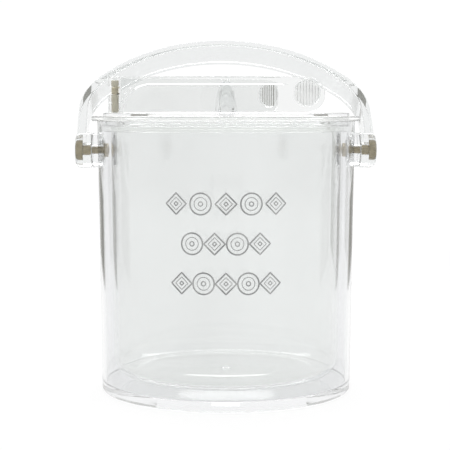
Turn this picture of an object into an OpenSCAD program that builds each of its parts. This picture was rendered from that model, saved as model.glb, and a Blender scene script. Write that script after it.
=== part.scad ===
// Clear double-walled ice bucket with a swing handle, a lift-off lid and a pair of sprung tongs.
// Millimetres, +Z up. The origin is the centre of the base's underside. X runs along the handle's
// pivot, and the front of the bucket faces -Y. The handle leans back at rest, and the tongs lie on
// the lid with their arms open.

/* [Bucket] */
// Outer radius of the wall at the base
base_r = 88.6; // [86:0.1:89.5]
// Outer radius of the wall at the top
top_r = 91.2; // [91:0.1:92]
// Height of the outer shell, up to the underside of the rim flange
shell_h = 190.5; // [185:0.5:200]
// Thickness of the outer wall
shell_wall = 2.8; // [2.2:0.1:3]
// Thickness of the outer floor
shell_floor = 6.5; // [4:0.5:8]
// Radius of the rounded edge at the bottom
base_round = 2; // [1:0.5:4]

/* [Liner] */
// Outer radius of the rim flange
flange_r = 95.3; // [94.5:0.1:96]
// Thickness of the rim flange
flange_t = 3.5; // [3:0.1:4.5]
// Inner radius of the liner's wall at the top
liner_top_r = 78.9; // [78:0.1:80]
// Inner radius of the liner's wall at the floor
liner_base_r = 77.3; // [75:0.1:78]
// Thickness of the liner's wall and floor
liner_wall = 2.6; // [2:0.1:3]
// Height of the ice well's floor above the table
well_floor_z = 13.6; // [12:0.2:20]

/* [Lid] */
// Radius of the lid
lid_r = 87.1; // [86.5:0.1:87.2]
// Thickness of the lid's plate
lid_plate = 3; // [2.5:0.1:3.5]
// How far the lid's top stands above the rim
lid_proud = 2.2; // [1.5:0.1:3]
// Radius of the knob
knob_r = 7.6; // [7:0.1:8.2]
// Height of the knob
knob_h = 23.5; // [18:0.5:26]

/* [Handle] */
// Height of the handle's pivot above the table
pivot_z = 170; // [165:0.5:172]
// Angle the handle leans back from upright at rest
lean = 45; // [35:1:50]
// Thickness of the handle's band
band_t = 6.5; // [5:0.1:7]
// Width of the handle's band
band_w = 19.5; // [16:0.5:22]
// Height of the arch's crown above the pivot
crown_h = 105; // [104.5:0.5:112]

/* [Tongs] */
// Height of the arms, standing on edge on the lid
tong_h = 24.5; // [20:0.5:26]
// Distance from the hinge to the middle of the gripping pads
tong_reach = 132.6; // [130:0.2:135]
// Thickness of the arms
arm_t = 3; // [2.5:0.1:3.5]
// How far each arm bows out from the straight line to its pad
arm_bow = 14; // [13.5:0.5:16]

/* [Hidden] */
$fa = 4;
$fs = 0.5;
eps = 0.01;
far = 400;
// How far a cutting shape runs past the face that it cuts
cut = 1;
// Degrees by which curved strips that meet end to end run into each other
overlap = 0.5;
// Degrees between points on the arch's crown
arch_step = 1.5;

// Colours
clear = [0.95, 0.96, 0.96, 0.35];
brass = [0.70, 0.58, 0.34];
nylon = [0.93, 0.93, 0.91];

// Small gaps: between bonded parts, between loose parts, and around moving parts
bond_gap = 0.05;
rest_gap = 0.15;
move_gap = 0.3;
bore_gap = 0.05;

// Rim: the shell's top edge carries the flange, and the lid sits in a rebate inside it
inner_round = 1.5;
rim_z = shell_h + bond_gap;
rim_top_z = rim_z + flange_t;
shell_inner_top_r = top_r - shell_wall;
collar_r = shell_inner_top_r - 0.2;
collar_drop = 7.2;
collar_wall = 2.8;
rebate_r = lid_r + 0.4;
ledge_t = 2.8;
flange_round = 1.2;
liner_round = 10;
gate_r = 3.5;
gate_deep = 0.6;

// Lid
lid_top_z = rim_top_z + lid_proud;
lid_base_z = rim_z + rest_gap;
lid_skirt = 2.6;
lid_round = 0.8;
spigot_r = 4;

// Handle pivot: flat pads on the shell, washers, then the handle's lobes
pad_r = 12.2;
pad_x = top_r + 3.2;
boss_r = 7.5;
boss_x = 86.6;
washer_r = 11;
washer_t = 0.5;
washer_x = pad_x + bond_gap;
lobe_r = 12.6;
lobe_round = 4;
lobe_in_x = washer_x + washer_t + bond_gap;
lobe_out_x = lobe_in_x + 11.3;

// Pivot pin: a slotted head sunk in the lobe, a plain shoulder, and a thinner end that takes the nut
head_r = 7.1;
head_t = 4.6;
head_sunk = 0.7;
head_out_x = lobe_out_x - head_sunk;
head_in_x = head_out_x - head_t;
slot_w = 1.6;
slot_deep = 0.8;
shoulder_r = 3.5;
stud_r = 2.5;
pin_end_x = 83;
nut_r = 4.8;
nut_t = 3;
nut_gap = 0.02;

// Handle arch, drawn upright with the pivot at the origin
leg_out_x = 105.2;
corner_r = 54;
corner_x = leg_out_x - corner_r;
crown_r = 125;
crown_z = crown_h - crown_r;
corner_z = crown_z + sqrt(pow(crown_r - corner_r, 2) - corner_x * corner_x);
corner_end = atan2(corner_z - crown_z, corner_x);

// Tongs: hinge position, yaw of the middle line, and each arm's opening angle
hinge_x = -77.6;
hinge_y = -20;
tong_yaw = 12.4;
tong_open = 21;
tong_z = lid_top_z + rest_gap;
barrel_r = 4.75;
tong_pin_r = 2.6;
pin_neck_r = 1.6;
tong_pin_low = 0.6;
tong_pin_top = tong_h - 2.4;
knuckle = 6.5;
mid_knuckle = 5.6;
knuckle_gap = 0.2;
spring_z = knuckle + mid_knuckle + 2 * knuckle_gap;
spring_top_z = tong_h - knuckle - knuckle_gap;
wire_r = 0.45;
leg_r = 0.38;
coil_r = tong_pin_r - wire_r;
coil_pitch = 0.8;
coils = floor((spring_top_z - spring_z - 2 * wire_r) / coil_pitch) + 1;
leg_len = 2.8;

// Gripping pads and the recess in each arm's outer face, which leaves a rail along the top
grip_r = 9.2;
grip_z = 13.2;
grip_t = 1.2;
ridge_pitch = 2;
ridge_d = 1;
ridges = floor((grip_r - ridge_d) / ridge_pitch);
top_rail = 5.2;
recess_deep = 1;
recess_h = tong_h - top_rail;
recess_x = 6.4;
recess_bend = 20;
recess_end_x = tong_reach - grip_r - 3.2;

// Arm centreline in plan: an arc from the hinge that bows out, then a reverse arc into a flat end
bow_x = 58;
flat_x = 122;
bow_r = (bow_x * bow_x / arm_bow + arm_bow) / 2;
bow_y = arm_bow - bow_r;
turn_r = (flat_x * flat_x - 2 * flat_x * bow_x) / (2 * arm_bow);
bow_start = atan2(-bow_y, -bow_x);
bow_end = atan2(turn_r - bow_y, flat_x - bow_x);

// A cylinder along +X from x0 to x1, at the height of the handle's pivot.
module pivot_rod(r, x0, x1) {
    translate([x0, 0, pivot_z])
        rotate([0, 90, 0])
            cylinder(r = r, h = x1 - x0);
}

// The same thing at the right, or mirrored to the left.
module at_side(side) {
    if (side > 0)
        children();
    else
        mirror([1, 0, 0])
            children();
}

// Half of a cup's section: a tapered wall that rises from a rounded corner, filled to the axis.
module cup_half(r_low, r_high, z_low, z_high, corner) {
    bend_x = r_low - corner;
    bend_z = z_low + corner;
    translate([bend_x, bend_z])
        circle(r = corner);
    polygon([[0, z_low], [bend_x, z_low], [bend_x, bend_z], [r_low, bend_z],
             [r_high, z_high], [0, z_high]]);
}

// A rectangle of a ring's section, from one radius to another, with rounded outer corners.
module ring_half(r_in, r_out, z_low, z_high, round_r) {
    translate([r_in, z_low])
        square([r_out - round_r - r_in, z_high - z_low]);
    translate([r_in, z_low + round_r])
        square([r_out - r_in, z_high - z_low - 2 * round_r]);
    for (z = [z_low + round_r, z_high - round_r])
        translate([r_out - round_r, z])
            circle(r = round_r);
}

module outer_shell() {
    color(clear)
    difference() {
        union() {
            rotate_extrude()
                cup_half(base_r, top_r, 0, shell_h, base_round);
            for (side = [-1, 1])
                at_side(side)
                    pivot_rod(pad_r, boss_x, pad_x);
        }
        difference() {
            rotate_extrude()
                translate([0, shell_floor])
                    cup_half(base_r - shell_wall, shell_inner_top_r, 0,
                             shell_h - shell_floor + cut, inner_round);
            for (side = [-1, 1])
                at_side(side)
                    pivot_rod(boss_r, boss_x, top_r);
        }
        for (side = [-1, 1])
            at_side(side)
                pivot_rod(stud_r + bore_gap, boss_x - cut, pad_x + cut);
    }
}

module inner_liner() {
    liner_h = rim_z - well_floor_z;
    color(clear)
    difference() {
        union() {
            rotate_extrude()
                ring_half(rebate_r - cut, flange_r, rim_z, rim_top_z, flange_round);
            rotate_extrude()
                translate([liner_top_r, rim_z - ledge_t])
                    square([collar_r - liner_top_r, ledge_t]);
            rotate_extrude()
                translate([collar_r - collar_wall, rim_z - collar_drop])
                    square([collar_wall, collar_drop + cut]);
            rotate_extrude()
                translate([0, well_floor_z - liner_wall])
                    cup_half(liner_base_r + liner_wall, liner_top_r + liner_wall, 0,
                             liner_h + liner_wall, liner_round + liner_wall);
        }
        rotate_extrude()
            translate([0, well_floor_z])
                cup_half(liner_base_r, liner_top_r, 0, liner_h + cut, liner_round);
        translate([0, 0, rim_z])
            cylinder(r = rebate_r, h = flange_t + cut);
        translate([0, 0, well_floor_z - gate_deep])
            cylinder(r = gate_r, h = gate_deep + cut);
    }
}

module lid() {
    color(clear)
    difference() {
        rotate_extrude()
            ring_half(0, lid_r, lid_base_z, lid_top_z, lid_round);
        translate([0, 0, lid_base_z - cut])
            cylinder(r = lid_r - lid_skirt, h = lid_top_z - lid_base_z - lid_plate + cut);
        translate([0, 0, lid_top_z - lid_plate - cut])
            cylinder(r = spigot_r + bore_gap, h = lid_plate + 2 * cut);
    }
}

module lid_knob() {
    color(clear)
    translate([0, 0, lid_top_z + bond_gap]) {
        translate([0, 0, -lid_plate])
            cylinder(r = spigot_r, h = lid_plate + cut);
        rotate_extrude()
            polygon([[0, 0], for (a = [0 : 6 : 90]) [knob_r * cos(a), knob_h * sin(a)]]);
    }
}

// Points on half of the arch, from the crown to the foot of a leg, moved in by the given amount.
function half_arch(side, inset) = concat(
    [for (a = [90 : -arch_step : corner_end])
        [side * (crown_r - inset) * cos(a), crown_z + (crown_r - inset) * sin(a)]],
    [for (a = [corner_end : -corner_end / 24 : 0.1])
        [side * (corner_x + (corner_r - inset) * cos(a)), corner_z + (corner_r - inset) * sin(a)]],
    [[side * (leg_out_x - inset), corner_z], [side * (leg_out_x - inset), 0]]);

function reversed(points) = [for (i = [len(points) - 1 : -1 : 0]) points[i]];

module handle() {
    color(clear)
    translate([0, 0, pivot_z])
        rotate([-lean, 0, 0])
            difference() {
                union() {
                    translate([0, band_w / 2, 0])
                        rotate([90, 0, 0])
                            linear_extrude(height = band_w)
                                for (side = [-1, 1])
                                    polygon(concat(half_arch(side, 0),
                                                   reversed(half_arch(side, band_t))));
                    for (side = [-1, 1])
                        at_side(side)
                            lobe();
                }
                for (side = [-1, 1])
                    at_side(side)
                        handle_bore();
            }
}

// The round end of a leg, with its outer edge rounded over.
module lobe() {
    rotate([0, 90, 0])
        rotate_extrude() {
            translate([0, lobe_in_x])
                square([lobe_r, lobe_out_x - lobe_round - lobe_in_x]);
            translate([0, lobe_in_x])
                square([lobe_r - lobe_round, lobe_out_x - lobe_in_x]);
            translate([lobe_r - lobe_round, lobe_out_x - lobe_round])
                circle(r = lobe_round);
        }
}

// The bore for the pin's shoulder, and the counterbore for its head.
module handle_bore() {
    rotate([0, 90, 0]) {
        cylinder(r = shoulder_r + bore_gap, h = far);
        translate([0, 0, head_in_x - bond_gap])
            cylinder(r = head_r + move_gap, h = far);
    }
}

module pivot_pin(side) {
    color(brass)
    at_side(side) {
        pivot_rod(stud_r, pin_end_x, pad_x + cut);
        pivot_rod(shoulder_r, pad_x + bond_gap, head_in_x + cut);
        difference() {
            pivot_rod(head_r, head_in_x, head_out_x);
            translate([head_out_x - slot_deep, -head_r - cut, pivot_z - slot_w / 2])
                cube([slot_deep + cut, 2 * (head_r + cut), slot_w]);
        }
    }
}

module friction_washer(side) {
    color(nylon)
    at_side(side)
        difference() {
            pivot_rod(washer_r, washer_x, washer_x + washer_t);
            pivot_rod(shoulder_r + 2 * bore_gap, washer_x - cut, washer_x + washer_t + cut);
        }
}

module pivot_nut(side) {
    color(brass)
    at_side(side)
        difference() {
            translate([boss_x - bond_gap - nut_t, 0, pivot_z])
                rotate([0, 90, 0])
                    linear_extrude(height = nut_t)
                        polygon([for (a = [0 : 60 : 300]) [nut_r * cos(a), nut_r * sin(a)]]);
            pivot_rod(stud_r + nut_gap, pin_end_x - cut, boss_x + cut);
        }
}

// A flat curved strip about the origin, between two angles less than 180 degrees apart.
module arc_strip(r, t, a0, a1) {
    mid = (a0 + a1) / 2;
    intersection() {
        difference() {
            circle(r = r + t / 2);
            circle(r = r - t / 2);
        }
        polygon([[0, 0], [far * cos(a0), far * sin(a0)], [far * cos(mid), far * sin(mid)],
                 [far * cos(a1), far * sin(a1)]]);
    }
}

// An arm's plan outline, with the hinge at the origin and the pad out along +X, bowed to +Y.
module arm_plan(t, shift) {
    translate([bow_x, bow_y])
        arc_strip(bow_r + shift, t, bow_end - overlap, bow_start);
    translate([flat_x, turn_r])
        arc_strip(turn_r - shift, t, bow_end + 180, 270 + overlap);
    translate([flat_x, shift - t / 2])
        square([far, t]);
}

// An arm's side outline: straight edges and a round end.
module arm_side() {
    end_r = tong_h / 2;
    square([tong_reach, tong_h]);
    translate([tong_reach, end_r])
        circle(r = end_r);
}

// The recess's side outline: it rises from the hinge in a long curve and is open at the bottom.
module recess_side() {
    polygon(concat(
        [[recess_end_x, -cut], [recess_x, -cut]],
        [for (a = [180 : -5 : 90])
            [recess_x + recess_bend * (1 + cos(a)), recess_h * sin(a)]],
        [[recess_end_x, recess_h]]));
}

// Turns a side outline upright and draws it out far to the front and back.
module sideways() {
    translate([0, far, 0])
        rotate([90, 0, 0])
            linear_extrude(height = 2 * far)
                children();
}

// One arm at the origin, bowed to +Y. The front arm has the outer knuckles, the back arm the middle.
module tong_arm(outer_knuckles) {
    clear_r = barrel_r + 0.5;
    own = outer_knuckles ? [[0, knuckle], [tong_h - knuckle, knuckle]]
                         : [[knuckle + knuckle_gap, mid_knuckle]];
    cut_away = outer_knuckles ? [[knuckle, tong_h - 2 * knuckle]]
                              : [[-cut, knuckle + knuckle_gap + cut],
                                 [spring_z - knuckle_gap, tong_h]];
    difference() {
        union() {
            intersection() {
                linear_extrude(height = tong_h)
                    arm_plan(arm_t, 0);
                sideways()
                    arm_side();
            }
            for (k = own)
                translate([0, 0, k[0]])
                    cylinder(r = barrel_r, h = k[1]);
            grip_pad();
        }
        intersection() {
            translate([0, 0, -cut])
                linear_extrude(height = tong_h)
                    arm_plan(2 * recess_deep, arm_t / 2);
            sideways()
                recess_side();
        }
        for (k = cut_away)
            translate([0, 0, k[0]])
                cylinder(r = clear_r, h = k[1]);
        translate([0, 0, -cut])
            cylinder(r = tong_pin_r + bore_gap, h = tong_pin_top + bore_gap + cut);
    }
}

// A round pad on the arm's inner face, with upright ridges that grip the ice.
module grip_pad() {
    translate([tong_reach, -arm_t / 2 + eps, grip_z])
        rotate([90, 0, 0]) {
            cylinder(r = grip_r, h = grip_t);
            intersection() {
                cylinder(r = grip_r, h = far);
                for (i = [-ridges : ridges])
                    translate([i * ridge_pitch, -grip_r, grip_t])
                        rotate([-90, 0, 0])
                            cylinder(r = ridge_d / 2, h = 2 * grip_r);
            }
        }
}

module front_tong_arm() {
    color(clear)
    translate([hinge_x, hinge_y, tong_z])
        rotate([0, 0, tong_yaw - tong_open])
            mirror([0, 1, 0])
                tong_arm(true);
}

module back_tong_arm() {
    color(clear)
    translate([hinge_x, hinge_y, tong_z])
        rotate([0, 0, tong_yaw + tong_open])
            tong_arm(false);
}

// The pin is necked where the spring is wound on it, so that pin and spring are equally thick.
module tong_hinge_pin() {
    neck_z = spring_z - knuckle_gap / 2;
    neck_top_z = spring_top_z + knuckle_gap / 2;
    color(brass)
    translate([hinge_x, hinge_y, tong_z]) {
        translate([0, 0, tong_pin_low])
            cylinder(r = tong_pin_r, h = neck_z - tong_pin_low);
        translate([0, 0, neck_z - cut])
            cylinder(r = pin_neck_r, h = neck_top_z - neck_z + 2 * cut);
        translate([0, 0, neck_top_z])
            cylinder(r = tong_pin_r, h = tong_pin_top - neck_top_z);
    }
}

// A close-wound torsion spring around the pin, with a short end that points at each arm's root.
module tong_spring() {
    color(brass)
    translate([hinge_x, hinge_y, tong_z + spring_z + wire_r]) {
        for (i = [0 : coils - 1])
            translate([0, 0, i * coil_pitch])
                rotate_extrude($fn = 48)
                    translate([coil_r, 0])
                        circle(r = wire_r, $fn = 24);
        spring_leg(-1, 0);
        spring_leg(1, (coils - 1) * coil_pitch);
    }
}

// A straight end that leaves the coil as a tangent and stays inside the arms' clearance.
module spring_leg(side, z) {
    splay = 47;
    rotate([0, 0, tong_yaw + side * splay])
        translate([0, -side * coil_r, z])
            rotate([0, 90, 0])
                cylinder(r = leg_r, h = leg_len, $fn = 24);
}

outer_shell();
inner_liner();
lid();
lid_knob();
handle();
pivot_pin(-1);  // left_pivot_pin
pivot_pin(1);  // right_pivot_pin
friction_washer(-1);  // left_friction_washer
friction_washer(1);  // right_friction_washer
pivot_nut(-1);  // left_pivot_nut
pivot_nut(1);  // right_pivot_nut
front_tong_arm();
back_tong_arm();
tong_hinge_pin();
tong_spring();
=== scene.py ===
"""Looks of a clear acrylic ice bucket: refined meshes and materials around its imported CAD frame.

Lengths named in millimetres are turned to metres by the mesh builders. Positions follow the CAD nodes.
"""

import math

import bmesh
import bpy
from mathutils import Matrix, Vector


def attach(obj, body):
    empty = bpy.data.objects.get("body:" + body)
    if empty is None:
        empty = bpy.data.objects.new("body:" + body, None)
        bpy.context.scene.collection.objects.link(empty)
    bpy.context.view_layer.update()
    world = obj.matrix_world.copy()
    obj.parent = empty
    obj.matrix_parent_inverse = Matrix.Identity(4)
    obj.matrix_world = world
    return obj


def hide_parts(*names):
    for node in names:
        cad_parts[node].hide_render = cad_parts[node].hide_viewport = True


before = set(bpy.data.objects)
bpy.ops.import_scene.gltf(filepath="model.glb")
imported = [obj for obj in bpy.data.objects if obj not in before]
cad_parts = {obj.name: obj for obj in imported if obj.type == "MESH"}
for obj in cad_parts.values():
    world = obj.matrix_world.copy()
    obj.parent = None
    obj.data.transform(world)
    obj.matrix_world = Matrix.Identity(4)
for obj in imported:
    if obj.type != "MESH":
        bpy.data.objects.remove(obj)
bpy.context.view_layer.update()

# ---------------------------------------------------------------- sizes, in millimetres

MM = 0.001
SIDES = ((-1, "left"), (1, "right"))

# Gaps: between bonded or fastened pieces, under a loose piece, and around a turning one
BOND_GAP = 0.05
REST_GAP = 0.15
MOVE_GAP = 0.3

# Outer shell
BASE_R = 88.6
TOP_R = 91.2
SHELL_H = 190.5
SHELL_WALL = 2.8
SHELL_FLOOR = 6.5
BASE_ROUND = 2.0
INNER_ROUND = 1.5

# Inner liner, with the flange and collar that join it to the shell
FLANGE_R = 95.3
RIM_Z = SHELL_H + BOND_GAP
RIM_TOP_Z = RIM_Z + 3.5
LINER_TOP_R = 78.9
LINER_BASE_R = 77.3
LINER_WALL = 2.6
WELL_FLOOR_Z = 13.6
WELL_ROUND = 10.0
COLLAR_R = TOP_R - SHELL_WALL - 0.2
COLLAR_WALL = 2.8
COLLAR_DROP = 7.2
LEDGE_T = 2.8
GATE_R = 3.5
GATE_DEEP = 0.6

# Lid and knob
LID_R = 87.1
LID_TOP_Z = RIM_TOP_Z + 2.2
LID_BASE_Z = RIM_Z + REST_GAP
LID_PLATE = 3.0
LID_SKIRT = 2.6
REBATE_R = LID_R + 0.4
SPIGOT_R = 4.0
KNOB_R = 7.6
KNOB_H = 23.5

# Handle, measured from its pivot
PIVOT_Z = 170.0
LEAN = math.radians(45)
BAND_T = 6.5
BAND_W = 19.5
BAND_ROUND = 0.9
CROWN_H = 105.0
CROWN_R = 125.0
CORNER_R = 54.0
LEG_OUT_X = 105.2

# Pivots: pads and bosses on the shell, washers, lobes, pins and nuts
PAD_R = 12.2
PAD_X = TOP_R + 3.2
PAD_ROOT_X = TOP_R - 1.5
BOSS_R = 7.5
BOSS_X = 86.6
WASHER_R = 11.0
WASHER_T = 0.5
WASHER_PLAY = 0.1
LOBE_R = 12.6
LOBE_ROUND = 4.0
LOBE_IN_X = PAD_X + WASHER_T + 2 * BOND_GAP
LOBE_OUT_X = LOBE_IN_X + 11.3
HEAD_R = 7.1
HEAD_OUT_X = LOBE_OUT_X - 0.7
HEAD_IN_X = HEAD_OUT_X - 4.6
SLOT_DEEP = 0.8
SLOT_W = 1.6
SHOULDER_R = 3.5
STUD_R = 2.5
PIN_END_X = 83.0
NUT_R = 4.8
NUT_T = 3.0
NUT_CHAMFER = 0.35

# Tongs: the arms' plan is measured from the hinge along each arm
HINGE = Vector((-77.6, -20.0, LID_TOP_Z + REST_GAP))
TONG_YAW = math.radians(12.4)
TONG_OPEN = math.radians(21)
TONG_H = 24.5
TONG_REACH = 132.6
ARM_T = 3.0
ARM_BOW = 14.0
BOW_X = 58.0
FLAT_X = 122.0

# Hinge of the tongs, with the spring's wire
BARREL_R = 4.75
KNUCKLE = 6.5
MID_KNUCKLE = 5.6
KNUCKLE_GAP = 0.2
PIN_R = 2.6
PIN_LOW = 0.6
PIN_TOP = TONG_H - 2.4
WIRE_R = 0.45
COIL_R = PIN_R - WIRE_R
NECK_R = 1.6
LEG_LEN = 2.8
LEG_SPLAY = math.radians(47)

# Faces of the arms: the ridged grip pad inside and the recess outside
GRIP_R = 9.2
GRIP_Z = 13.2
GRIP_T = 1.2
GRIP_EDGE = 0.5
RIDGE_PITCH = 2.0
RIDGE_H = 0.5
ARM_ROOT = 3.6
ARM_EDGE = 0.7
TOP_RAIL = 5.2
RECESS_DEEP = 1.0
RECESS_SLOPE = 0.5
RECESS_X = 6.4
RECESS_BEND = 20.0
RECESS_END_X = TONG_REACH - GRIP_R - 3.2
RECESS_RUN_OUT = 8.0

# How far the camera stands to the left of straight in front, where the etched figures face it
VIEW_SIDE = math.radians(2.4)

# Etched figures: rows of (height, count, pitch), and the lines of a figure as (size, width)
ETCH_ROWS = ((137.5, 5, 16.6), (111.5, 4, 14.9), (85.5, 5, 14.7))
ETCH_LINES = ((7.0, 1.0), (4.2, 0.5), (1.4, 0.7))
ETCH_FRONT = 0.06
ETCH_BACK = 0.01

# Grey cards behind the bucket's two sides, as (y, height) corners
FLAG_X = 370.0
LOWER_FLAG = ((400, 0), (950, 0), (950, 190), (400, 100))
UPPER_FLAG = ((400, 118), (950, 213), (950, 235), (600, 235), (600, 165), (400, 165))

# ---------------------------------------------------------------- mesh helpers

SMOOTH_ANGLE = 35


def mesh_object(name, points, faces, smooth_angle=SMOOTH_ANGLE):
    """A mesh from points in millimetres, smooth except across edges sharper than the angle."""
    mesh = bpy.data.meshes.new(name)
    mesh.from_pydata([Vector(p) * MM for p in points], [], faces)
    mesh.validate()
    work = bmesh.new()
    work.from_mesh(mesh)
    bmesh.ops.remove_doubles(work, verts=work.verts, dist=1e-7)
    bmesh.ops.recalc_face_normals(work, faces=work.faces)
    work.to_mesh(mesh)
    work.free()
    obj = bpy.data.objects.new(name, mesh)
    bpy.context.scene.collection.objects.link(obj)
    smooth(obj, smooth_angle)
    return obj


def smooth(obj, angle):
    for polygon in obj.data.polygons:
        polygon.use_smooth = True
    obj.data.set_sharp_from_angle(angle=math.radians(angle))


def circle(radius, count):
    angles = [math.tau * i / count for i in range(count)]
    return [Vector((radius * math.cos(a), radius * math.sin(a))) for a in angles]


def rounded(points, steps=6):
    """A closed outline from (x, y, fillet radius) corners, with each corner turned into an arc."""
    outline = []
    count = len(points)
    for i, (x, y, radius) in enumerate(points):
        here = Vector((x, y))
        before = Vector(points[i - 1][:2]) - here
        after = Vector(points[(i + 1) % count][:2]) - here
        if radius <= 0:
            outline.append(here)
            continue
        half = before.angle(after) / 2
        reach = radius / math.tan(half)
        centre = here + (before.normalized() + after.normalized()).normalized() * (radius / math.sin(half))
        start = here + before.normalized() * reach - centre
        turn = start.angle_signed(here + after.normalized() * reach - centre)
        corner_steps = max(steps, round(abs(turn) * radius * 1.2))
        for k in range(corner_steps + 1):
            outline.append(centre + Matrix.Rotation(-turn * k / corner_steps, 2) @ start)
    return with_supports(outline)


def with_supports(outline, near=0.3):
    """Adds a point close to each end of every long straight, so that flat faces shade as flat."""
    supported = []
    for i, start in enumerate(outline):
        end = outline[(i + 1) % len(outline)]
        supported.append(start)
        if (end - start).length > 4 * near:
            step = (end - start).normalized() * near
            supported += [start + step, end - step]
    return supported


def ring_faces(rings, size, capped):
    """Quads between successive rings. The two end rings are capped, or else joined to each other."""
    faces = []
    for i in range(rings - 1 if capped else rings):
        j = (i + 1) % rings
        for k in range(size):
            n = (k + 1) % size
            faces.append((i * size + k, i * size + n, j * size + n, j * size + k))
    if capped:
        faces.append(tuple(range(size - 1, -1, -1)))
        faces.append(tuple((rings - 1) * size + k for k in range(size)))
    return faces


def lathe(name, outline, turns=256, place=None):
    """An outline of (radius, height) turned about Z, then put in place by a matrix in millimetres."""
    points = []
    for i in range(turns):
        angle = math.tau * i / turns
        for radius, height in outline:
            point = Vector((radius * math.cos(angle), radius * math.sin(angle), height))
            points.append(place @ point if place else point)
    return mesh_object(name, points, ring_faces(turns, len(outline), False))


def sweep(name, frames, section, smooth_angle=SMOOTH_ANGLE):
    """A closed section carried along frames, each an (origin, x direction, y direction)."""
    points = []
    for origin, across, up in frames:
        for x, y in section:
            points.append(origin + across * x + up * y)
    return mesh_object(name, points, ring_faces(len(frames), len(section), True), smooth_angle)


def combine(obj, other, operation, smooth_angle=SMOOTH_ANGLE):
    """Adds or cuts away another object, which is used up."""
    modifier = obj.modifiers.new("combine", "BOOLEAN")
    modifier.object = other
    modifier.operation = operation
    modifier.solver = "EXACT"
    bpy.context.view_layer.update()
    depsgraph = bpy.context.evaluated_depsgraph_get()
    mesh = bpy.data.meshes.new_from_object(obj.evaluated_get(depsgraph))
    obj.modifiers.clear()
    obj.data = mesh
    bpy.data.objects.remove(other)
    smooth(obj, smooth_angle)


def along_x(side):
    """Turns a part made about Z so that its axis runs outward along X at the handle's pivot."""
    turn = Matrix.Rotation(side * math.pi / 2, 4, "Y")
    return Matrix.Translation((0, 0, PIVOT_Z)) @ turn


def fit(obj, body, slot_name, material, *nodes):
    """Gives a piece its material and body, and hides the CAD nodes it stands in for, if it has any."""
    obj.data.materials.clear()
    obj.data.materials.append(material)
    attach(obj, body)
    if nodes:
        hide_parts(*nodes)


# ---------------------------------------------------------------- materials

NOISE_LOW = 0.35
NOISE_HIGH = 0.65


def node_material(name):
    material = bpy.data.materials.new(name)
    material.use_nodes = True
    nodes = material.node_tree.nodes
    return material, nodes, material.node_tree.links, nodes["Principled BSDF"]


def noise(nodes, links, scale, detail=2.0, stretch=(1, 1, 1)):
    """Noise in object space, in features per metre, stretched along the axes."""
    coords = nodes.new("ShaderNodeTexCoord")
    mapping = nodes.new("ShaderNodeMapping")
    mapping.inputs["Scale"].default_value = stretch
    texture = nodes.new("ShaderNodeTexNoise")
    texture.inputs["Scale"].default_value = scale
    texture.inputs["Detail"].default_value = detail
    links.new(coords.outputs["Object"], mapping.inputs["Vector"])
    links.new(mapping.outputs["Vector"], texture.inputs["Vector"])
    return texture.outputs["Fac"]


def ranged(nodes, links, value, low, high):
    """Spreads the middle of a noise's values over the range from low to high."""
    remap = nodes.new("ShaderNodeMapRange")
    remap.inputs["From Min"].default_value = NOISE_LOW
    remap.inputs["From Max"].default_value = NOISE_HIGH
    remap.inputs["To Min"].default_value = low
    remap.inputs["To Max"].default_value = high
    links.new(value, remap.inputs["Value"])
    return remap.outputs["Result"]


def bump(nodes, links, height, distance, strength, shader):
    node = nodes.new("ShaderNodeBump")
    node.inputs["Distance"].default_value = distance
    node.inputs["Strength"].default_value = strength
    links.new(height, node.inputs["Height"])
    links.new(node.outputs["Normal"], shader.inputs["Normal"])


def colour_ramp(nodes, links, value, low, high):
    """Spreads the middle of a noise's values over the colours from low to high."""
    ramp = nodes.new("ShaderNodeValToRGB")
    ramp.color_ramp.elements[0].position = NOISE_LOW
    ramp.color_ramp.elements[0].color = (*low, 1)
    ramp.color_ramp.elements[1].position = NOISE_HIGH
    ramp.color_ramp.elements[1].color = (*high, 1)
    links.new(value, ramp.inputs["Fac"])
    return ramp.outputs["Color"]


def acrylic(name, tint, ripple, roughness):
    """Moulded clear acrylic: a slight tint, faint flow ripples and very fine handling haze."""
    material, nodes, links, shader = node_material(name)
    shader.inputs["Transmission Weight"].default_value = 1.0
    shader.inputs["IOR"].default_value = 1.49
    flow = noise(nodes, links, 14, 1.0, (1, 1, 0.35))
    haze = noise(nodes, links, 55, 4.0)
    shade = colour_ramp(nodes, links, flow, [c * 0.985 for c in tint], tint)
    links.new(shade, shader.inputs["Base Color"])
    links.new(ranged(nodes, links, haze, roughness * 0.3, roughness), shader.inputs["Roughness"])
    bump(nodes, links, flow, ripple, 1.0, shader)
    return material


def brass(name, dull, bright):
    """Satin brass, turned on a lathe: warm metal with fine rings and dull patches."""
    material, nodes, links, shader = node_material(name)
    shader.inputs["Metallic"].default_value = 1.0
    patches = noise(nodes, links, 260, 3.0)
    rings = noise(nodes, links, 900, 2.0, (3, 0.4, 0.4))
    shade = colour_ramp(nodes, links, patches, dull, bright)
    links.new(shade, shader.inputs["Base Color"])
    links.new(ranged(nodes, links, patches, 0.28, 0.45), shader.inputs["Roughness"])
    bump(nodes, links, rings, 0.00004, 0.6, shader)
    return material


def nylon():
    """Natural nylon: milky, slightly waxy, with a soft grain."""
    material, nodes, links, shader = node_material("natural_nylon")
    grain = noise(nodes, links, 700, 3.0)
    shade = colour_ramp(nodes, links, grain, (0.80, 0.80, 0.77), (0.88, 0.88, 0.86))
    links.new(shade, shader.inputs["Base Color"])
    shader.inputs["Subsurface Weight"].default_value = 0.15
    shader.inputs["Subsurface Radius"].default_value = (0.001, 0.001, 0.001)
    links.new(ranged(nodes, links, grain, 0.35, 0.5), shader.inputs["Roughness"])
    bump(nodes, links, grain, 0.00002, 0.5, shader)
    return material


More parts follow.
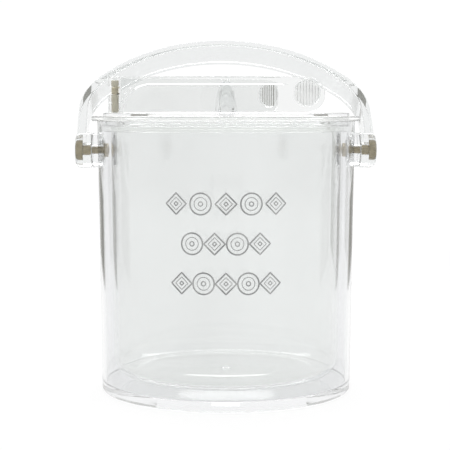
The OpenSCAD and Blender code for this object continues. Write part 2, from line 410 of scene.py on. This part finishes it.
def etched():
    """Engraved marks: matt grey with the sparkle and unevenness of a cut groove."""
    material, nodes, links, shader = node_material("etched_marks")
    grain = noise(nodes, links, 1500, 3.0)
    patches = noise(nodes, links, 90, 2.0)
    shade = colour_ramp(nodes, links, patches, (0.22, 0.225, 0.225), (0.36, 0.365, 0.36))
    links.new(shade, shader.inputs["Base Color"])
    links.new(ranged(nodes, links, grain, 0.5, 0.8), shader.inputs["Roughness"])
    bump(nodes, links, grain, 0.00003, 0.8, shader)
    return material


def floor_material():
    """A white light table: mostly its own even glow, with a little of the studio's light."""
    material, nodes, links, shader = node_material("light_table")
    mottle = noise(nodes, links, 3, 3.0)
    shade = colour_ramp(nodes, links, mottle, (0.11, 0.11, 0.11), (0.12, 0.12, 0.12))
    links.new(shade, shader.inputs["Base Color"])
    shader.inputs["Roughness"].default_value = 0.9
    shader.inputs["Specular IOR Level"].default_value = 0.0
    shader.inputs["Emission Color"].default_value = (1, 1, 1, 1)
    shader.inputs["Emission Strength"].default_value = 0.90
    return material


SHELL_CLEAR = acrylic("shell_acrylic", (0.890, 0.896, 0.901), 0.00004, 0.02)
LINER_CLEAR = acrylic("liner_acrylic", (0.995, 1.0, 0.99), 0.00004, 0.02)
LID_CLEAR = acrylic("lid_acrylic", (0.93, 0.935, 0.936), 0.00004, 0.02)
HANDLE_CLEAR = acrylic("handle_acrylic", (0.85, 0.862, 0.86), 0.00005, 0.03)
TONG_CLEAR = acrylic("tong_acrylic", (0.885, 0.893, 0.889), 0.00004, 0.02)
BRASS = brass("satin_brass", (0.32, 0.265, 0.16), (0.48, 0.41, 0.27))
PALE_BRASS = brass("pale_brass", (0.52, 0.485, 0.38), (0.68, 0.64, 0.52))
NYLON = nylon()
ETCHED = etched()

# ---------------------------------------------------------------- bucket


def make_shell():
    shell = lathe("clear_outer_shell", rounded([
        (0, 0, 0),
        (BASE_R, 0, BASE_ROUND),
        (TOP_R, SHELL_H, 0.3),
        (TOP_R - SHELL_WALL, SHELL_H, 0.3),
        (BASE_R - SHELL_WALL, SHELL_FLOOR, INNER_ROUND),
        (0, SHELL_FLOOR, 0)]))
    for side, label in SIDES:
        boss = lathe("boss_" + label, rounded([
            (0, BOSS_X, 0),
            (BOSS_R, BOSS_X, 0.4),
            (BOSS_R, PAD_ROOT_X, 0),
            (PAD_R, PAD_ROOT_X, 0),
            (PAD_R, PAD_X, 0.8),
            (0, PAD_X, 0)]), 96, along_x(side))
        hole = lathe("hole_" + label, [
            (0, BOSS_X - 2),
            (STUD_R + BOND_GAP, BOSS_X - 2),
            (STUD_R + BOND_GAP, PAD_X + 2),
            (0, PAD_X + 2)], 64, along_x(side))
        combine(shell, boss, "UNION")
        combine(shell, hole, "DIFFERENCE")
    fit(shell, "bucket", "clear_acrylic", SHELL_CLEAR, "outer_shell")


def make_liner():
    under_floor = WELL_FLOOR_Z - LINER_WALL
    collar_in = COLLAR_R - COLLAR_WALL
    liner = lathe("clear_inner_liner", rounded([
        (0, WELL_FLOOR_Z - GATE_DEEP, 0),
        (GATE_R - 0.3, WELL_FLOOR_Z - GATE_DEEP, 0.2),
        (GATE_R, WELL_FLOOR_Z, 0.2),
        (LINER_BASE_R, WELL_FLOOR_Z, WELL_ROUND),
        (LINER_TOP_R, RIM_Z, 0.5),
        (REBATE_R, RIM_Z, 0.3),
        (REBATE_R, RIM_TOP_Z, 0.5),
        (FLANGE_R, RIM_TOP_Z, 1.2),
        (FLANGE_R, RIM_Z, 1.2),
        (COLLAR_R, RIM_Z, 0),
        (COLLAR_R, RIM_Z - COLLAR_DROP, 0.4),
        (collar_in, RIM_Z - COLLAR_DROP, 0.4),
        (collar_in, RIM_Z - LEDGE_T, 0.6),
        (LINER_TOP_R + LINER_WALL, RIM_Z - LEDGE_T, 1.0),
        (LINER_BASE_R + LINER_WALL, under_floor, WELL_ROUND + LINER_WALL),
        (0, under_floor, 0)]))
    fit(liner, "bucket", "clear_acrylic", LINER_CLEAR, "inner_liner")


def make_lid():
    underside = LID_TOP_Z - LID_PLATE
    hole_r = SPIGOT_R + BOND_GAP
    lid = lathe("clear_lid", rounded([
        (hole_r, underside, 0),
        (LID_R - LID_SKIRT, underside, 0.8),
        (LID_R - LID_SKIRT, LID_BASE_Z, 0.4),
        (LID_R, LID_BASE_Z, 0.8),
        (LID_R, LID_TOP_Z, 0.8),
        (hole_r, LID_TOP_Z, 0)]))
    fit(lid, "lid", "clear_acrylic", LID_CLEAR, "lid")


def make_knob():
    """A dome of half an ellipse, with a spigot below that plugs into the lid."""
    knob_z = LID_TOP_Z + BOND_GAP
    dome = []
    for i in range(1, 41):
        angle = math.radians(90 * i / 40)
        dome.append((KNOB_R * math.cos(angle), knob_z + KNOB_H * math.sin(angle), 0))
    knob = lathe("clear_lid_knob", rounded([
        (0, knob_z - LID_PLATE, 0),
        (SPIGOT_R, knob_z - LID_PLATE, 0.3),
        (SPIGOT_R, knob_z, 0),
        (KNOB_R, knob_z, 0.4),
        *dome]), 128)
    fit(knob, "lid", "clear_acrylic", LID_CLEAR, "lid_knob")


# ---------------------------------------------------------------- handle and pivots


def arch_path():
    """Points on the band's middle line with their outward normals, from the left foot to the right."""
    corner_x = LEG_OUT_X - CORNER_R
    crown_z = CROWN_H - CROWN_R
    corner_z = crown_z + math.sqrt((CROWN_R - CORNER_R) ** 2 - corner_x ** 2)
    corner_end = math.atan2(corner_z - crown_z, corner_x)
    half = [(LEG_OUT_X - BAND_T / 2, corner_z * i / 8, 0.0) for i in range(8)]
    for i in range(48):
        a = corner_end * i / 48
        r = CORNER_R - BAND_T / 2
        half.append((corner_x + r * math.cos(a), corner_z + r * math.sin(a), a))
    for i in range(96):
        a = corner_end + (math.pi / 2 - corner_end) * i / 96
        r = CROWN_R - BAND_T / 2
        half.append((r * math.cos(a), crown_z + r * math.sin(a), a))
    crown = [(0.0, CROWN_H - BAND_T / 2, math.pi / 2)]
    return [(-x, z, math.pi - a) for x, z, a in half] + crown + half[::-1]


def make_handle():
    tilt = Matrix.Translation((0, 0, PIVOT_Z)) @ Matrix.Rotation(-LEAN, 4, "X")
    turn = tilt.to_3x3()
    section = [Vector(p) for p in rounded([
        (-BAND_T / 2, -BAND_W / 2, BAND_ROUND), (BAND_T / 2, -BAND_W / 2, BAND_ROUND),
        (BAND_T / 2, BAND_W / 2, BAND_ROUND), (-BAND_T / 2, BAND_W / 2, BAND_ROUND)])]
    width = turn @ Vector((0, 1, 0))
    frames = [(tilt @ Vector((x, 0, z)), turn @ Vector((math.cos(a), 0, math.sin(a))), width)
              for x, z, a in arch_path()]
    handle = sweep("clear_handle", frames, section)
    for side, label in SIDES:
        lobe = lathe("lobe_" + label, rounded([
            (0, LOBE_IN_X, 0), (LOBE_R, LOBE_IN_X, 0.6),
            (LOBE_R, LOBE_OUT_X, LOBE_ROUND), (0, LOBE_OUT_X, 0)]), 128, along_x(side))
        combine(handle, lobe, "UNION")
        bore = lathe("bore_" + label, [
            (0, LOBE_IN_X - 5), (SHOULDER_R + BOND_GAP, LOBE_IN_X - 5),
            (SHOULDER_R + BOND_GAP, HEAD_IN_X - BOND_GAP), (HEAD_R + MOVE_GAP, HEAD_IN_X - BOND_GAP),
            (HEAD_R + MOVE_GAP, LOBE_OUT_X + 5), (0, LOBE_OUT_X + 5)], 96, along_x(side))
        combine(handle, bore, "DIFFERENCE")
    fit(handle, "handle", "clear_acrylic", HANDLE_CLEAR, "handle")


def make_pin(side, label):
    """A shouldered pin with a slot across its head."""
    pin = lathe(label + "_brass_pin", rounded([
        (0, PIN_END_X, 0), (STUD_R, PIN_END_X, 0.5), (STUD_R, PAD_X + BOND_GAP, 0),
        (SHOULDER_R, PAD_X + BOND_GAP, 0.2), (SHOULDER_R, HEAD_IN_X, 0),
        (HEAD_R, HEAD_IN_X, 0.3), (HEAD_R, HEAD_OUT_X, 0.9), (0, HEAD_OUT_X, 0)]), 96, along_x(side))
    bottom_x = side * (HEAD_OUT_X - SLOT_DEEP)
    open_x = side * (HEAD_OUT_X + 2)
    corners = [(x, y * (HEAD_R + 1), PIVOT_Z + z * SLOT_W / 2)
               for x in (bottom_x, open_x) for y in (-1, 1) for z in (-1, 1)]
    slot = mesh_object("slot_" + label, corners, [
        (0, 1, 3, 2), (4, 6, 7, 5), (0, 4, 5, 1), (2, 3, 7, 6), (0, 2, 6, 4), (1, 5, 7, 3)])
    combine(pin, slot, "DIFFERENCE")
    fit(pin, "bucket", "brass", BRASS, label + "_pivot_pin")


def make_washer(side, label):
    low = PAD_X + BOND_GAP
    high = low + WASHER_T
    hole_r = SHOULDER_R + WASHER_PLAY
    washer = lathe(label + "_nylon_washer", rounded([
        (hole_r, low, 0.1), (WASHER_R, low, 0.15), (WASHER_R, high, 0.15), (hole_r, high, 0.1)]),
        96, along_x(side))
    fit(washer, "bucket", "nylon", NYLON, label + "_friction_washer")


def make_nut(side, label):
    """A six-sided nut, chamfered at both ends, in the space between the walls."""
    nut_x = BOSS_X - BOND_GAP - NUT_T
    outline = rounded([(p.x, p.y, 0.15) for p in circle(NUT_R, 6)], 2)
    place = along_x(side)
    ends = [(nut_x, 0.93), (nut_x + NUT_CHAMFER, 1.0), (nut_x + NUT_T - NUT_CHAMFER, 1.0),
            (nut_x + NUT_T, 0.93)]
    points = [place @ Vector((p.x * scale, p.y * scale, z)) for z, scale in ends for p in outline]
    nut = mesh_object(label + "_brass_nut", points, ring_faces(len(ends), len(outline), True), 20)
    thread = lathe("thread_" + label, [
        (0, nut_x - 1), (STUD_R + 0.02, nut_x - 1),
        (STUD_R + 0.02, nut_x + NUT_T + 1), (0, nut_x + NUT_T + 1)], 64, place)
    combine(nut, thread, "DIFFERENCE", 20)
    fit(nut, "bucket", "brass", BRASS, label + "_pivot_nut")


# ---------------------------------------------------------------- tongs


def arm_curve():
    """The arm's centreline in plan: a bow, a turn back and a straight of no set end.

    Each stretch is its length and a function from a distance to the point and the outward normal.
    """
    bow_r = (BOW_X ** 2 / ARM_BOW + ARM_BOW) / 2
    bow_c = Vector((BOW_X, ARM_BOW - bow_r))
    turn_r = (FLAT_X ** 2 - 2 * FLAT_X * BOW_X) / (2 * ARM_BOW)
    turn_c = Vector((FLAT_X, turn_r))
    first = math.atan2(-bow_c.y, -bow_c.x)
    last = math.atan2(turn_c.y - bow_c.y, turn_c.x - bow_c.x)

    def bow(d):
        a = first - d / bow_r
        return bow_c + bow_r * Vector((math.cos(a), math.sin(a))), Vector((math.cos(a), math.sin(a)))

    def turn(d):
        a = last + math.pi + d / turn_r
        return turn_c + turn_r * Vector((math.cos(a), math.sin(a))), -Vector((math.cos(a), math.sin(a)))

    def flat(d):
        return Vector((FLAT_X + d, 0.0)), Vector((0.0, 1.0))

    bow_length = bow_r * (first - last)
    turn_length = turn_r * (math.pi / 2 - last)
    return [(bow_length, bow), (turn_length, turn), (math.inf, flat)]


def on_curve(curve, distance):
    """The point and normal at a distance along a curve whose last stretch has no end."""
    i = 0
    while distance > curve[i][0]:
        distance -= curve[i][0]
        i += 1
    return curve[i][1](distance)


def smoothstep(low, high, value):
    t = min(max((value - low) / (high - low), 0.0), 1.0)
    return t * t * (3 - 2 * t)


def edge_round(depth, radius):
    """How far a rounded edge falls away, at a depth inside the outline."""
    if depth >= radius:
        return 0.0
    return radius - math.sqrt(max(radius ** 2 - (radius - depth) ** 2, 0.0))


def spread(start, end, count):
    """Evenly spaced values after the start, up to and including the end."""
    return [start + (end - start) * i / count for i in range(1, count + 1)]


def recess_top(x):
    """Height of the recess's upper edge, which rises from the hinge in a long curve."""
    along = min(max((x - RECESS_X) / RECESS_BEND, 0.0), 1.0)
    return (TONG_H - TOP_RAIL) * math.sqrt(1 - (1 - along) ** 2)


def outer_face(x, z):
    """How far the arm's outer face stands from its middle, with the recess."""
    half = RECESS_SLOPE / 2
    recess = 1 - smoothstep(recess_top(x) - half, recess_top(x) + half, z)
    recess *= smoothstep(RECESS_X, RECESS_X + RECESS_SLOPE, x)
    recess *= 1 - smoothstep(RECESS_END_X - RECESS_RUN_OUT, RECESS_END_X, x)
    return ARM_T / 2 - RECESS_DEEP * recess


def inner_face(from_pad, z):
    """How far the arm's inner face stands from its middle, with the ridged pad."""
    pad = 1 - smoothstep(GRIP_R - GRIP_EDGE, GRIP_R, math.hypot(from_pad, z - GRIP_Z))
    ridge = 0.5 + 0.5 * math.cos(math.tau * from_pad / RIDGE_PITCH)
    return ARM_T / 2 + pad * (GRIP_T + RIDGE_H * ridge)


def arm_heights(x, half_high):
    """Heights of the mesh's rows: close together at both edges and where the recess ends."""
    middle = TONG_H / 2
    near_edge = [min(depth, half_high) for depth in (0, 0.03, 0.1, 0.22, 0.4, ARM_EDGE)]
    low = middle - half_high + near_edge[-1]
    high = middle + half_high - near_edge[-1]
    slope_low = min(max(recess_top(x) - RECESS_SLOPE / 2, low), high)
    slope_high = min(max(recess_top(x) + RECESS_SLOPE / 2, low), high)
    heights = [middle - half_high + depth for depth in near_edge]
    heights += spread(low, slope_low, 40)
    heights += spread(slope_low, slope_high, 5)
    heights += spread(slope_high, high, 14)
    heights += [middle + half_high - depth for depth in reversed(near_edge[:-1])]
    return heights


def arm_blank(name, yaw, bow_side):
    """The arm without its hinge: a bowed strip with a recess outside and a ridged pad inside."""
    curve = arm_curve()
    pad_s = curve[0][0] + curve[1][0] + TONG_REACH - FLAT_X
    end_r = TONG_H / 2
    pad_start = pad_s - GRIP_R - 1
    pad_end = pad_s + GRIP_R + 1
    end_angle = math.asin((pad_end - pad_s) / end_r)
    pad_steps = round((pad_end - pad_start) / 0.2)
    steps = [ARM_ROOT]
    for start, end, count in ((ARM_ROOT, 16, 50), (16, 40, 30), (40, pad_start, 60),
                              (pad_start, pad_end, pad_steps)):
        steps += spread(start, end, count)
    steps += [pad_s + end_r * math.sin(angle) for angle in spread(end_angle, math.pi / 2, 14)]
    turn = Matrix.Rotation(yaw, 3, "Z")

    def place(point, normal, offset, z):
        flat_point = point + normal * offset
        return HINGE + turn @ Vector((flat_point.x, bow_side * flat_point.y, z))

    points = []
    for s in steps:
        point, normal = on_curve(curve, s)
        beyond = max(s - pad_s, 0.0)
        half_high = math.sqrt(max(end_r ** 2 - beyond ** 2, 0.0))
        outside, inside = [], []
        for z in arm_heights(point.x, half_high):
            depth = max(end_r - math.hypot(beyond, z - end_r), 0.0)
            fall = edge_round(depth, ARM_EDGE)
            outside.append(place(point, normal, outer_face(point.x, z) - fall, z))
            inside.append(place(point, normal, fall - inner_face(s - pad_s, z), z))
        points += outside + inside[::-1]
    size = len(points) // len(steps)
    return mesh_object(name, points, ring_faces(len(steps), size, True), 60)


def make_arm(name, node, body, yaw, bow_side, outer_knuckles):
    """An arm with its knuckles. The bow points to bow_side of the hinge's heading."""
    arm = arm_blank(name, yaw, bow_side)
    mid_low = KNUCKLE + KNUCKLE_GAP
    mid_high = mid_low + MID_KNUCKLE
    if outer_knuckles:
        own = [(0, KNUCKLE), (TONG_H - KNUCKLE, TONG_H)]
        away = [(KNUCKLE, TONG_H - KNUCKLE)]
    else:
        own = [(mid_low, mid_high)]
        away = [(-1, mid_low), (mid_high, TONG_H + 1)]
    at_hinge = Matrix.Translation(HINGE)
    clear_r = BARREL_R + 0.5
    for low, high in away:
        room = [(0, low), (clear_r, low), (clear_r, high), (0, high)]
        combine(arm, lathe("room", room, 96, at_hinge), "DIFFERENCE")
    for low, high in own:
        knuckle = rounded([(0, low, 0), (BARREL_R, low, 0.4), (BARREL_R, high, 0.4), (0, high, 0)])
        combine(arm, lathe("knuckle", knuckle, 96, at_hinge), "UNION")
    bore_r = PIN_R + BOND_GAP
    bore_top = PIN_TOP + BOND_GAP
    bore = [(0, -1), (bore_r, -1), (bore_r, bore_top), (0, bore_top)]
    combine(arm, lathe("bore", bore, 64, at_hinge), "DIFFERENCE", 40)
    fit(arm, body, "clear_acrylic", TONG_CLEAR, node)


def make_hinge_pin():
    neck_low = KNUCKLE + MID_KNUCKLE + 1.5 * KNUCKLE_GAP
    neck_high = TONG_H - KNUCKLE - KNUCKLE_GAP / 2
    pin = lathe("brass_hinge_pin", rounded([
        (0, PIN_LOW, 0), (PIN_R, PIN_LOW, 0.4), (PIN_R, neck_low, 0.1), (NECK_R, neck_low, 0.1),
        (NECK_R, neck_high, 0.1), (PIN_R, neck_high, 0.1), (PIN_R, PIN_TOP, 0.4), (0, PIN_TOP, 0)]),
        96, Matrix.Translation(HINGE))
    fit(pin, "tongs", "brass", PALE_BRASS, "tong_hinge_pin")


def straight_end(frame_at_end, along):
    """A frame a little way off along the wire, past the end of the coil."""
    centre, out, up = frame_at_end
    return centre + up.cross(out) * along, out, up


def make_spring():
    """A close-wound coil on the pin's neck, with a straight end toward the root of each arm."""
    low = KNUCKLE + MID_KNUCKLE + 2 * KNUCKLE_GAP + WIRE_R
    high = TONG_H - KNUCKLE - KNUCKLE_GAP - WIRE_R
    first = TONG_YAW - LEG_SPLAY + math.pi / 2
    last = TONG_YAW + LEG_SPLAY - math.pi / 2 + 5 * math.tau
    steps = 200
    up = Vector((0, 0, 1))
    frames = []
    for i in range(steps + 1):
        angle = first + (last - first) * i / steps
        out = Vector((math.cos(angle), math.sin(angle), 0))
        centre = HINGE + out * COIL_R + up * (low + (high - low) * i / steps)
        frames.append((centre, out, up))
    frames.insert(0, straight_end(frames[0], -LEG_LEN))
    frames.append(straight_end(frames[-1], LEG_LEN))
    spring = sweep("brass_tong_spring", frames, circle(WIRE_R, 12), 60)
    fit(spring, "tongs", "brass", PALE_BRASS, "tong_spring")


def make_tongs():
    make_arm("clear_front_arm", "front_tong_arm", "front_arm", TONG_YAW - TONG_OPEN, -1, True)
    make_arm("clear_back_arm", "back_tong_arm", "back_arm", TONG_YAW + TONG_OPEN, 1, False)
    make_hinge_pin()
    make_spring()


# ---------------------------------------------------------------- etched ornament


def shell_radius(z):
    return BASE_R + (TOP_R - BASE_R) * z / SHELL_H


def ribbon(outline, width):
    """A flat ribbon along a closed outline of (across, up) points, wrapped onto the front of the shell."""
    heading = -math.pi / 2 - VIEW_SIDE
    count = len(outline)
    verts = []
    for i, point in enumerate(outline):
        before = outline[i - 1]
        after = outline[(i + 1) % count]
        along = (Vector(after) - Vector(before)).normalized()
        across = Vector((-along.y, along.x)) * width / 2
        for edge in (Vector(point) + across, Vector(point) - across):
            for height in (ETCH_FRONT, ETCH_BACK):
                r = shell_radius(edge.y) + height
                a = heading + edge.x / r
                verts.append((r * math.cos(a), r * math.sin(a), edge.y))
    faces = []
    for i in range(count):
        a, b = 4 * i, 4 * ((i + 1) % count)
        for p, q in ((0, 2), (2, 3), (3, 1), (1, 0)):
            faces.append((a + p, a + q, b + q, b + p))
    return mesh_object("ribbon", verts, faces)


def ring(x, z, size):
    return [(x + p.x, z + p.y) for p in circle(size, 72)]


def diamond(x, z, size):
    corners = [(x, z - size), (x + size, z), (x, z + size), (x - size, z)]
    outline = []
    for i, (x0, z0) in enumerate(corners):
        x1, z1 = corners[(i + 1) % 4]
        outline += [(x0 + (x1 - x0) * k / 10, z0 + (z1 - z0) * k / 10) for k in range(10)]
    return outline


def make_ornament():
    """Three rows of plain geometric figures, etched on the front."""
    pieces = []
    for row, (z, count, pitch) in enumerate(ETCH_ROWS):
        for i in range(count):
            x = (i - (count - 1) / 2) * pitch
            figure = ring if (i + row) % 2 else diamond
            for size, width in ETCH_LINES:
                pieces.append(ribbon(figure(x, z, size), width))
    work = bmesh.new()
    for piece in pieces:
        work.from_mesh(piece.data)
        bpy.data.objects.remove(piece)
    mesh = bpy.data.meshes.new("etched_ornament")
    work.to_mesh(mesh)
    work.free()
    ornament = bpy.data.objects.new("etched_ornament", mesh)
    bpy.context.scene.collection.objects.link(ornament)
    fit(ornament, "bucket", "clear_acrylic", ETCHED)


# ---------------------------------------------------------------- studio


def make_floor():
    """A floor wide enough to reach the horizon, a hair under the bucket."""
    mesh = bpy.data.meshes.new("floor")
    work = bmesh.new()
    bmesh.ops.create_circle(work, cap_ends=True, radius=30, segments=128)
    work.to_mesh(mesh)
    work.free()
    floor = bpy.data.objects.new("floor", mesh)
    floor.location.z = -0.0002
    bpy.context.scene.collection.objects.link(floor)
    floor.data.materials.append(floor_material())


def flag_material():
    """Plain matt grey card, slightly warm."""
    material, nodes, links, shader = node_material("grey_card")
    grain = noise(nodes, links, 40, 3.0)
    links.new(colour_ramp(nodes, links, grain, (0.25, 0.248, 0.226), (0.27, 0.268, 0.244)),
              shader.inputs["Base Color"])
    links.new(ranged(nodes, links, grain, 0.85, 0.95), shader.inputs["Roughness"])
    return material


def make_flags():
    """Grey cards on both sides, seen only through the glass: they draw its edges and the pads' ridges."""
    material = flag_material()
    for side, label in SIDES:
        for height, outline in (("lower", LOWER_FLAG), ("upper", UPPER_FLAG)):
            corners = [(side * FLAG_X, y, z) for y, z in outline]
            flag = mesh_object(f"{label}_{height}_flag", corners, [tuple(range(len(corners)))])
            flag.data.materials.append(material)
            flag.visible_camera = False


def make_world():
    """A soft white studio all round."""
    world = bpy.data.worlds.new("studio")
    bpy.context.scene.world = world
    world.use_nodes = True
    background = world.node_tree.nodes["Background"]
    background.inputs["Color"].default_value = (1, 1, 1, 1)
    background.inputs["Strength"].default_value = 1.03


def area_light(name, location, size, power, shape="RECTANGLE"):
    """A softbox in metres and watts, aimed at the bucket."""
    light = bpy.data.lights.new(name, "AREA")
    light.shape = shape
    light.size, light.size_y = size
    light.energy = power
    obj = bpy.data.objects.new(name, light)
    obj.location = location
    aim = Vector((0, 0, 0.1)) - Vector(location)
    obj.rotation_euler = aim.to_track_quat("-Z", "Y").to_euler()
    bpy.context.scene.collection.objects.link(obj)


def make_camera():
    """In front of the bucket at the height of its rim, a little to the left and looking slightly down."""
    distance = 0.95
    height = 0.1957
    pitch = math.radians(4.767)
    turn = 0.00075
    camera = bpy.data.cameras.new("camera")
    camera.sensor_width = 36
    camera.lens = 106.8
    obj = bpy.data.objects.new("camera", camera)
    obj.location = (-distance * math.sin(VIEW_SIDE), -distance * math.cos(VIEW_SIDE), height)
    obj.rotation_euler = (math.pi / 2 - pitch, 0, turn - VIEW_SIDE)
    bpy.context.scene.collection.objects.link(obj)
    bpy.context.scene.camera = obj


make_shell()
make_liner()
make_lid()
make_knob()
make_handle()
for side, label in SIDES:
    make_pin(side, label)
    make_washer(side, label)
    make_nut(side, label)
make_tongs()
make_ornament()
make_floor()
make_flags()
make_world()
area_light("strip_softbox", (0, 1.5, 1.5), (2.6, 0.35), 16)
area_light("low_softbox", (0.168, 4, 0.872), (0.50, 0.05), 0.08, "ELLIPSE")
make_camera()

# Light that is trapped in a clear wall is reflected many times before it leaves
BOUNCES = 64
scene = bpy.context.scene
scene.view_settings.view_transform = "Standard"
scene.cycles.max_bounces = BOUNCES
scene.cycles.transmission_bounces = BOUNCES
scene.cycles.glossy_bounces = BOUNCES
